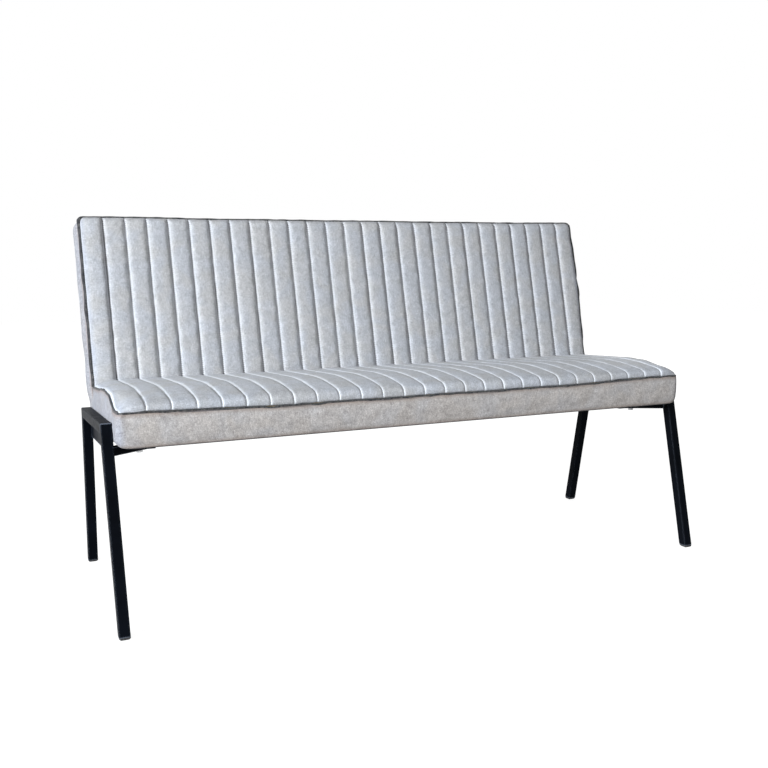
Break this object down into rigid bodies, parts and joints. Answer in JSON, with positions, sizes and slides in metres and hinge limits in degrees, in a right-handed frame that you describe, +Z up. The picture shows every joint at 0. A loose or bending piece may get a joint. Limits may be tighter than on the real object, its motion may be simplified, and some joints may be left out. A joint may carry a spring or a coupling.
{
  "type": "dining bench",
  "caption": "Upholstered dining bench with a reclined backrest, channel-quilted seat and back, piped edges, and splayed square-tube side frames.",
  "frame": {"origin": "on the floor, under the middle of the bench's length and depth", "axes": "+X to the right along the bench as seen from the front, +Y from the front to the back, +Z up"},
  "size_m": [1.6, 0.6925, 0.9215],
  "materials": {
    "powder_coat": "black powder coat, fine satin texture",
    "foot_plastic": "black moulded plastic, matte",
    "zinc_steel": "zinc plated steel",
    "seat_fabric": "silver-grey chenille with a mottled nap, stitched",
    "band_fabric": "warm grey woven chenille",
    "piping_fabric": "dark charcoal corded piping",
    "dust_cloth": "black non-woven cloth",
    "webbing": "elastic webbing",
    "foam": "polyurethane foam",
    "timber": "planed softwood",
    "board": "thin hardboard"
  },
  "bodies": {
    "root": {"back_board": "board", "back_centre_post": "timber", "back_foam": "foam", "back_front_cover": "seat_fabric", "back_left_band": "band_fabric", "back_left_lower_rail": "timber", "back_left_post": "timber", "back_piping": "piping_fabric", "back_rear_panel": "band_fabric", "back_right_band": "band_fabric", "back_right_lower_rail": "timber", "back_right_post": "timber", "back_top_band": "band_fabric", "back_top_rail": "timber", "carrier_bolts": "zinc_steel", "dust_cover": "dust_cloth", "left_cross_bar": "powder_coat", "left_front_arm": "powder_coat", "left_front_foot_cap": "foot_plastic", "left_front_leg": "powder_coat", "left_rear_arm": "powder_coat", "left_rear_foot_cap": "foot_plastic", "left_rear_leg": "powder_coat", "left_side_web": "powder_coat", "left_top_rail": "powder_coat", "post_screws": "zinc_steel", "right_cross_bar": "powder_coat", "right_front_arm": "powder_coat", "right_front_foot_cap": "foot_plastic", "right_front_leg": "powder_coat", "right_rear_arm": "powder_coat", "right_rear_foot_cap": "foot_plastic", "right_rear_leg": "powder_coat", "right_side_web": "powder_coat", "right_top_rail": "powder_coat", "seat_centre_rail": "timber", "seat_foam": "foam", "seat_front_band": "band_fabric", "seat_front_rail": "timber", "seat_left_band": "band_fabric", "seat_left_rail": "timber", "seat_piping": "piping_fabric", "seat_rear_rail": "timber", "seat_right_band": "band_fabric", "seat_right_rail": "timber", "seat_top_cover": "seat_fabric", "seat_webbing": "webbing", "tee_nuts": "zinc_steel"}
  },
  "joints": []
}
